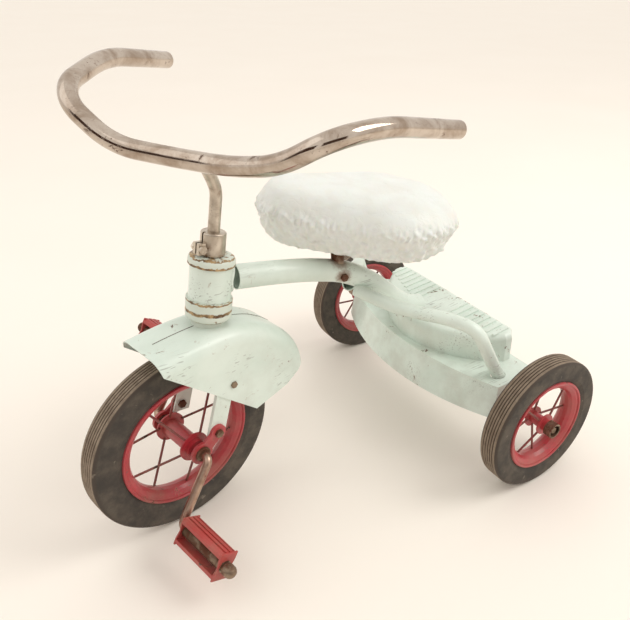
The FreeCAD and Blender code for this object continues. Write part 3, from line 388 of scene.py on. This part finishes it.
def film_material():
    """Milky plastic film with fine creases; light shows through a little."""
    mat, g, shader, spot = material("seat_plastic")
    cloud = use(g, PATCHES, Vector=spot, Scale=22.0, Low=0.3, High=0.75)["Mask"]
    g.join(g.mix(cloud, srgb(254, 253, 248), srgb(246, 242, 235)), shader.inputs["Base Color"])
    shader.inputs["Roughness"].default_value = 0.34
    shader.inputs["Transmission Weight"].default_value = 0.12
    shader.inputs["Subsurface Weight"].default_value = 0.15
    shader.inputs["Subsurface Scale"].default_value = 0.004
    crease = g.noise(spot, 55.0, 4.0, 0.5, 1.2)
    ridge = g.math("ABSOLUTE", g.math("SUBTRACT", crease, 0.5))
    fold = g.step(ridge, 0.0, 0.06)
    bump(g, shader, g.math("ADD", fold, g.math("MULTIPLY", g.noise(spot, 140.0, 3.0), 0.5)), 0.25, 0.0012)
    return mat


def foam_material():
    """Open-celled foam, yellowed in patches."""
    mat, g, shader, spot = material("seat_foam")
    cells = g.add("ShaderNodeTexVoronoi", {"Vector": spot, "Scale": 700.0}).outputs["Distance"]
    cloud = use(g, PATCHES, Vector=spot, Scale=30.0, Low=0.3, High=0.7)["Mask"]
    g.join(g.mix(cloud, srgb(226, 208, 190), srgb(196, 170, 148)), shader.inputs["Base Color"])
    shader.inputs["Roughness"].default_value = 0.95
    bump(g, shader, cells, 0.5, 0.0008)
    return mat


def middle_of(node):
    """Middle of a node's box."""
    low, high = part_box(node)
    return (low + high) / 2


def fixings():
    """Places on the mint paint where rust has crept out: the seat bolt's two ends, the seat post's hole."""
    low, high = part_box("seat_bolt")
    x, y, z = middle_of("seat_bolt")
    return [((x, high.y, z), 0.017), ((x, low.y, z), 0.015), ((x, y, z + 0.02), 0.022)]


MATERIALS = {
    "mint_paint": enamel("mint_paint", srgb(226, 238, 229), srgb(214, 229, 219), srgb(98, 76, 60), 0.5,
                         stains=fixings()),
    "red_paint": enamel("red_paint", srgb(186, 52, 62), srgb(160, 42, 50), srgb(70, 42, 34), 0.5,
                        gloss=0.34, chip_scale=120.0),
    "spoke_red": enamel("spoke_red", srgb(132, 42, 42), srgb(104, 42, 36), srgb(66, 46, 38), 0.75,
                        gloss=0.42, chip_scale=160.0),
    "pedal_red": enamel("pedal_red", srgb(186, 66, 62), srgb(164, 58, 54), srgb(90, 52, 44), 0.5,
                        gloss=0.55, chip_scale=130.0),
    # Chrome's base colours are darkened and browned: partly real tarnish, partly a painted reflection of
    # darker surroundings that the pale sky does not give.
    "chrome": metal("chrome", srgb(200, 188, 176), srgb(158, 140, 124), srgb(96, 70, 52),
                    rust_low=0.62, rust_high=0.72, smooth=0.09, dull=0.08, rust_scale=48.0),
    "crank_steel": metal("crank_steel", srgb(186, 160, 142), srgb(146, 116, 98), srgb(128, 70, 56),
                         rust_low=0.52, rust_high=0.72, smooth=0.3, dull=0.15),
    "worn_nickel": metal("worn_nickel", srgb(206, 196, 182), srgb(164, 150, 134), srgb(120, 88, 62),
                         rust_low=0.56, rust_high=0.70, smooth=0.28, dull=0.16),
    "rusty_steel": metal("rusty_steel", srgb(150, 132, 114), srgb(104, 84, 66), srgb(96, 56, 36),
                         rust_low=0.44, rust_high=0.62, smooth=0.34, dull=0.2, rust_scale=60.0),
    "worn_cup": cup_material(),
    "seat_steel": enamel("seat_steel", srgb(196, 198, 188), srgb(170, 168, 156), srgb(96, 66, 48), 0.7),
    "seam": enamel("seam", srgb(52, 46, 40), srgb(84, 72, 60), srgb(60, 40, 30), 0.6, gloss=0.7),
    "seat_foam": foam_material(),
    "seat_plastic": film_material(),
}
FRONT_TYRE_R = 0.127
REAR_TYRE_R = 0.1016
REAR_TREAD = srgb(142, 126, 108)
TYRES = {
    "front_tyre": tyre_material("front_tyre_rubber", "front_wheel_spin", FRONT_TYRE_R,
                                srgb(152, 136, 118)),
    "rear_tyre_left": tyre_material("rear_tyre_rubber_left", "rear_wheel_left_spin", REAR_TYRE_R,
                                    REAR_TREAD),
    "rear_tyre_right": tyre_material("rear_tyre_rubber_right", "rear_wheel_right_spin", REAR_TYRE_R,
                                     REAR_TREAD),
}


def dress_nodes():
    """Every CAD node gets its slot's material."""
    for part in frame["record"]["subparts"]:
        name = part["node"]
        own = part["material_slot"]
        if "spokes" in name:
            own = "spoke_red"
        if name == "crank_axle":
            own = "crank_steel"
        mat = TYRES.get(name) or MATERIALS[own]
        data = NODES[name].data
        data.materials.clear()
        data.materials.append(mat)


def stage_floor():
    """Plain pale floor, a soft sky, and dark boards out of view for the bright metal to mirror."""
    mat, g, shader, spot = material("floor")
    cloud = g.noise(spot, 2.0, 4.0, 0.5)
    g.join(g.mix(cloud, srgb(253, 247, 239), srgb(250, 243, 234)), shader.inputs["Base Color"])
    shader.inputs["Roughness"].default_value = 0.8
    bpy.ops.mesh.primitive_plane_add(size=60.0, location=(0, 0, 0))
    floor = bpy.context.object
    floor.name = "floor"
    floor.data.materials.append(mat)
    world = bpy.data.worlds.new("sky")
    world.use_nodes = True
    back = world.node_tree.nodes["Background"]
    back.inputs["Color"].default_value = srgb(255, 250, 243)
    back.inputs["Strength"].default_value = 0.98
    bpy.context.scene.world = world
    bpy.context.scene.view_settings.view_transform = "Standard"
    lamp("key", (-1.5, 1.3, 2.3), 1.3, 26.0, (1.0, 0.97, 0.93))
    lamp("fill", (1.8, -0.6, 1.8), 2.0, 5.0, (1.0, 0.98, 0.96))
    dark, _, shader, _ = material("board")
    shader.inputs["Base Color"].default_value = srgb(70, 48, 36)
    shader.inputs["Roughness"].default_value = 0.9
    boards = [("board_side", (0.9, 2.6, 1.1), (2.6, 1.1)), ("board_front", (2.8, 0.6, 1.0), (2.2, 1.0))]
    for name, at, size in boards:
        bpy.ops.mesh.primitive_plane_add(size=1.0, location=place(*at))
        board = bpy.context.object
        board.name = name
        board.scale = (size[0], size[1], 1.0)
        board.rotation_euler = (place(0.2, 0, 0.45) - board.location).to_track_quat("Z", "Y").to_euler()
        board.data.materials.append(dark)


# ---- saddle ----

SEAT_MID = (0.156, -0.016, 0.341)
SEAT_TURN = math.radians(-20.0)
SEAT_TILT = math.radians(7.5)
SEAT_LEN = 0.266
SEAT_REAR_R = 0.0975
SEAT_NOSE_R = 0.058


def seat_matrix():
    """Where the saddle's own frame sits: moved, turned about Z, then its nose tipped by the tilt."""
    turn = Matrix.Rotation(SEAT_TURN, 4, "Z")
    tilt = Matrix.Rotation(-SEAT_TILT, 4, "Y")
    return Matrix.Translation(place(*SEAT_MID)) @ turn @ tilt


def saddle_outline(count):
    """Points round the saddle, evenly spaced by length, with the point of the middle line that each belongs
    to: a round back, two straight flanks and a round nose."""
    back = -SEAT_LEN / 2 + SEAT_REAR_R
    nose = SEAT_LEN / 2 - SEAT_NOSE_R
    lean = math.acos((SEAT_REAR_R - SEAT_NOSE_R) / (nose - back))
    flank = (nose - back) * math.sin(lean)
    lengths = np.array([2 * lean * SEAT_NOSE_R, flank, 2 * (math.pi - lean) * SEAT_REAR_R, flank])
    ends = np.cumsum(lengths)
    s = np.linspace(0, ends[-1], count, endpoint=False)
    kind = np.searchsorted(ends, s, side="right")
    t = (s - (ends - lengths)[kind]) / lengths[kind]
    sides = [kind == 0, kind == 1, kind == 2]
    angle = np.select(sides, [lean * (2 * t - 1), lean, lean + 2 * (math.pi - lean) * t], -lean)
    along = np.select(sides, [1.0 + 0 * t, 1 - t, 0 * t], t)
    middle = np.stack([back + (nose - back) * along, 0 * along], 1)
    radius = SEAT_REAR_R + (SEAT_NOSE_R - SEAT_REAR_R) * along
    out = np.stack([np.cos(angle), np.sin(angle)], 1)
    return middle, out, radius, s / ends[-1]


def mesh_piece(name, points, cap=True, wrap_rows=False):
    """Mesh from a (rows, columns, 3) grid whose columns close round. A cap closes the first row with a fan;
    wrapped rows join the last row to the first."""
    rows, cols = points.shape[:2]
    index = np.arange(rows * cols).reshape(rows, cols)
    a = index if wrap_rows else index[:-1]
    b = np.roll(index, -1, 0) if wrap_rows else index[1:]
    quads = np.stack([a, b, np.roll(b, -1, 1), np.roll(a, -1, 1)], -1).reshape(-1, 4)
    faces = quads.tolist()
    vertices = points.reshape(-1, 3)
    if cap:
        vertices = np.vstack([vertices, points[0].mean(0)])
        ring = index[0]
        faces += np.stack([ring, np.roll(ring, -1), np.full(cols, rows * cols)], 1).tolist()
    mesh = bpy.data.meshes.new(name)
    mesh.from_pydata(vertices.tolist(), [], faces)
    mesh.polygons.foreach_set("use_smooth", [True] * len(mesh.polygons))
    obj = bpy.data.objects.new(name, mesh)
    bpy.context.scene.collection.objects.link(obj)
    return obj


def to_row_frame(points, matrix):
    """Points of a piece's own frame, in the row frame."""
    m = np.array(matrix)
    return points @ m[:3, :3].T + m[:3, 3]


def smooth_curve(knots, count):
    """Points along a line that passes smoothly through the knots (Catmull-Rom), evenly by knot."""
    k = np.array(knots, float)
    k = np.vstack([2 * k[0] - k[1], k, 2 * k[-1] - k[-2]])
    t = np.linspace(0, len(k) - 3 - 1e-9, count)
    i = t.astype(int)
    f = (t - i)[:, None]
    p0, p1, p2, p3 = k[i], k[i + 1], k[i + 2], k[i + 3]
    square = 2 * p0 - 5 * p1 + 4 * p2 - p3
    cube = 3 * p1 - p0 - 3 * p2 + p3
    return 0.5 * (2 * p1 + (p2 - p0) * f + square * f ** 2 + cube * f ** 3)


FULL_TURN = 6.28


def waves(rng, s, t, count, low, high, slant):
    """A sum of random waves round the saddle, each with its own pitch, slant and phase."""
    total = 0
    for _ in range(count):
        turns = int(rng.integers(low, high))
        tilt = rng.uniform(-slant, slant)
        phase = rng.uniform(0, FULL_TURN)
        total = total + np.sin(2 * math.pi * turns * s + tilt * t + phase)
    return total / math.sqrt(count)


def creases(rng, s, t, count, low, high, slant):
    """Crumpled sheet: a sum of |sine| waves in random directions, so the valleys are soft and the ridges
    sharp."""
    total = 0
    for _ in range(count):
        turns = int(rng.integers(low, high))
        bend = 0.5 * np.sin(2 * math.pi * (int(rng.integers(2, 6)) * s + rng.uniform(0, 1)) + 3 * t)
        tilt = rng.uniform(-slant, slant)
        phase = rng.uniform(0, FULL_TURN)
        total = total + np.abs(np.sin(math.pi * turns * s + tilt * t + bend + phase))
    return 1.27 - 2 * total / count


# Sections of the two skins from the middle of the top outwards and down: share of the outline's radius,
# amount added to it, and height, in metres.
COVER_KNOTS = [(0.02, 0, 0.0730), (0.30, 0, 0.0726), (0.58, 0, 0.0708), (0.80, 0, 0.0660), (0.93, 0, 0.0580),
               (1.0, 0.002, 0.0470), (1.0, 0.0065, 0.0360), (1.0, 0.0035, 0.0270), (1.0, -0.0005, 0.0165),
               (1.0, -0.0055, 0.0050), (1.0, -0.0125, -0.0045), (1.0, -0.0205, -0.0085)]
PAD_KNOTS = [(0.02, 0, 0.0618), (0.35, 0, 0.0614), (0.62, 0, 0.0600), (0.80, 0, 0.0562), (0.93, 0, 0.0480),
             (0.98, 0, 0.0375), (1.0, -0.0015, 0.0270), (1.0, -0.0045, 0.0170), (1.0, -0.0105, 0.0080),
             (1.0, -0.0195, 0.0024), (0.5, 0, 0.0022), (0.02, 0, 0.0022)]


def saddle_grid(knots, cols, rows):
    """Grid of a saddle-shaped skin in its own frame, with the row and column parameters. Each knot gives a
    share of the outline's radius, an amount added to it, and a height."""
    middle, out, radius, s = saddle_outline(cols)
    curve = smooth_curve(knots, rows)
    reach = radius[None] * curve[:, :1] + curve[:, 1:2]
    height = np.broadcast_to(curve[:, 2:], reach.shape)
    return middle[None], out[None], reach, height, s[None], np.linspace(0, 1, rows)[:, None]


FILM_THICK = 0.0004


def seat_cover():
    """Loose film over the pad: a crowned top, a crumpled roll round the widest place where it is gathered,
    and slack folds below that run in under the pan."""
    rng = np.random.default_rng(7)
    cols, rows = ((540, 88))
    middle, out, reach, height, s, t = saddle_grid(COVER_KNOTS, cols, rows)
    roll = np.exp(-((t - 0.56) / 0.085) ** 2)
    below = np.clip((t - 0.62) / 0.12, 0, 1)
    crown = np.clip(t / 0.3, 0, 1) * (1 - below)
    crisp = creases(rng, s, 9 * t, 7, 46, 120, 3.0)
    broad = creases(rng, s, 8 * t, 6, 14, 44, 4.0)
    facet = creases(rng, s, 7 * t, 5, 6, 26, 5.0)
    slow = waves(rng, s, t, 5, 2, 9, 4.0)
    uneven = 0.65 + 0.35 * waves(rng, s, t, 4, 2, 7, 1.0)
    swell = roll * np.clip(uneven, 0.25, 1.3) * (0.0060 * crisp + 0.0040 * broad)
    swell = swell + below * (0.0045 * broad + 0.0035 * facet + 0.0012 * crisp) + 0.0007 * crown * slow
    reach = reach + swell
    flat = middle + out * reach[..., None]
    drop = 0.0006 * crown * (slow + facet) + 0.0025 * roll * broad + 0.0020 * below * facet
    points = np.concatenate([flat, (height + drop)[..., None]], -1)
    piece = mesh_piece("saddle_film", to_row_frame(points, seat_matrix()))
    piece.data.materials.append(MATERIALS["seat_plastic"])
    solid = piece.modifiers.new("thickness", "SOLIDIFY")
    solid.thickness = FILM_THICK
    solid.offset = 1.0
    return piece


def seat_pad():
    """Crowned foam pad under the film, closed underneath where it rests on the pan."""
    rng = np.random.default_rng(3)
    cols, rows = 240, 60
    middle, out, reach, height, s, t = saddle_grid(PAD_KNOTS, cols, rows)
    lumps = 0.0008 * waves(rng, s, t, 5, 2, 12, 4.0) * np.clip(t / 0.3, 0, 1) * (t < 0.7)
    flat = middle + out * (reach + lumps)[..., None]
    points = np.concatenate([flat, height[..., None]], -1)
    piece = mesh_piece("saddle_pad", to_row_frame(points, seat_matrix()))
    body = bmesh.new()
    body.from_mesh(piece.data)
    body.verts.ensure_lookup_table()
    body.faces.new([body.verts[i] for i in range(rows * cols - 1, (rows - 1) * cols - 1, -1)])
    bmesh.ops.recalc_face_normals(body, faces=body.faces)
    body.to_mesh(piece.data)
    body.free()
    piece.data.materials.append(MATERIALS["seat_foam"])
    return piece


def dress_saddle():
    """The film and the pad in place of the plain CAD solids."""
    film = seat_cover()
    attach(film, "frame")
    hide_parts("seat_cover")
    pad = seat_pad()
    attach(pad, "frame")
    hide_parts("seat_pad")


# ---- weld beads ----

def tube_meeting(start, heading, radius, post_at, post_axis, post_radius, count):
    """Loop where a tube of that radius runs into a round post: for each line along the tube's side, the
    distance s at which it is post_radius from the post's axis, the nearer root of a quadratic."""
    d = np.array(heading) / np.linalg.norm(heading)
    a = np.array(post_axis) / np.linalg.norm(post_axis)
    e1 = np.cross(d, [0, 0, 1.0])
    e1 /= np.linalg.norm(e1)
    e2 = np.cross(d, e1)
    theta = np.linspace(0, 2 * math.pi, count, endpoint=False)[:, None]
    side = np.array(start) + radius * (np.cos(theta) * e1 + np.sin(theta) * e2)
    off = side - np.array(post_at)
    off = off - (off @ a)[:, None] * a
    run = d - (d @ a) * a
    b = off @ run
    c = (off ** 2).sum(1) - post_radius ** 2
    s = (-b - np.sqrt(np.maximum(b ** 2 - (run @ run) * c, 0))) / (run @ run)
    return side + s[:, None] * d


def weld_bead(name, loop, thick, seed):
    """Round bead carried along a closed loop, its radius rippled as a run of small overlapping drops."""
    rng = np.random.default_rng(seed)
    count = len(loop)
    ahead = np.roll(loop, -1, 0) - np.roll(loop, 1, 0)
    ahead /= np.linalg.norm(ahead, axis=1)[:, None]
    middle = loop.mean(0)
    out = loop - middle
    out -= (out * ahead).sum(1)[:, None] * ahead
    out /= np.linalg.norm(out, axis=1)[:, None]
    side = np.cross(ahead, out)
    u = np.linspace(0, 2 * math.pi, count, endpoint=False)
    size = thick * (1 + 0.16 * np.abs(np.sin(17 * u)) + 0.08 * np.sin(5 * u + rng.uniform(0, 6)))
    v = np.linspace(0, 2 * math.pi, 12, endpoint=False)[:, None]
    ring = np.cos(v)[..., None] * out[None] + np.sin(v)[..., None] * side[None]
    points = loop[None] + size[None, :, None] * ring
    piece = mesh_piece(name, points, cap=False, wrap_rows=True)
    piece.data.materials.append(MATERIALS["mint_paint"])
    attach(piece, "frame")
    return piece


def fender_seam():
    """Open seam between the fender's two pressings: a narrow dark line along the outer edge of the left
    half's middle plane. Of the half's vertices on that plane, the outer ones have no other more than 0.8 mm
    above them within 2 mm along."""
    steer = joint("steering")
    axis = np.array(steer["axis"])
    wheel = joint("front_wheel_spin")
    across = np.array(wheel["axis"])
    ahead = np.cross(across, axis)
    mesh = NODES["fender_left"].data
    co = np.empty(len(mesh.vertices) * 3)
    mesh.vertices.foreach_get("co", co)
    off = to_row_frame(co.reshape(-1, 3), NODES["fender_left"].matrix_world) - np.array(steer["pos_m"])
    u, v, w = off @ ahead, off @ across, off @ axis
    plane = np.abs(v) < 0.0001
    u, w = u[plane], w[plane]
    above = (np.abs(u[:, None] - u[None]) < 0.002) & (w[None] - w[:, None] > 0.0008)
    outer = ~above.any(1) & (w > -0.085) & (np.abs(u + 0.015) < 0.1)
    order = np.argsort(u[outer])
    u, w = u[outer][order], w[outer][order]
    along = np.linspace(u[0], u[-1], 90)
    above_edge = np.interp(along, u, w) + 0.0001
    line = np.array(steer["pos_m"]) + along[:, None] * ahead + above_edge[:, None] * axis
    theta = np.linspace(0, 2 * math.pi, 8, endpoint=False)
    ring = 0.00055 * (np.cos(theta)[:, None] * across + 0.6 * np.sin(theta)[:, None] * axis)
    piece = mesh_piece("fender_seam", line[:, None] + ring[None])
    piece.data.materials.append(MATERIALS["seam"])
    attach(piece, "fork")
    return piece


NECK_AT = (0.290, 0.0, 0.323)
NECK_HEADING = (0.055, 0.0, 0.008)
BACKBONE_R = 0.0159
HEAD_TUBE_R = 0.0257
NECK_BEAD_R = 0.0019


def dress_welds():
    """The bead where the backbone runs into the head tube."""
    steer = joint("steering")
    loop = tube_meeting(place(*NECK_AT), Vector(NECK_HEADING), BACKBONE_R, steer["pos_m"], steer["axis"],
                        HEAD_TUBE_R, 160)
    weld_bead("neck_weld", loop, NECK_BEAD_R, 11)


make_camera()
dress_nodes()
fender_seam()
stage_floor()
dress_saddle()
dress_welds()
